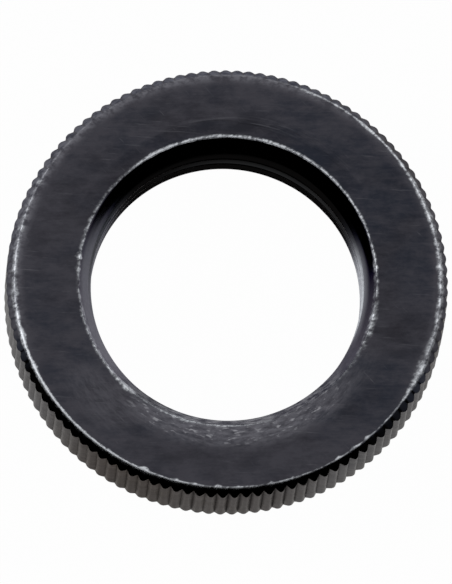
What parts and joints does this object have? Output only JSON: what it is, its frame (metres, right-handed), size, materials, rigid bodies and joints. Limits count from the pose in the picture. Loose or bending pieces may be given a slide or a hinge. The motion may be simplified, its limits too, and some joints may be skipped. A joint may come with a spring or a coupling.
{
  "type": "choke cable nut",
  "caption": "Thin round steel nut with a straight knurled rim, chamfered edges and a fine threaded hole.",
  "frame": {"origin": "centre of the flat face that the nut rests on", "axes": "+Z along the thread's axis, away from the face that the nut rests on; +X through the crest of one tooth"},
  "size_m": [0.0242, 0.0242, 0.005],
  "materials": {
    "black_oxide_steel": "satin black oxide, worn bright along the edges"
  },
  "bodies": {
    "root": {"choke_cable_nut": "black_oxide_steel"}
  },
  "joints": []
}
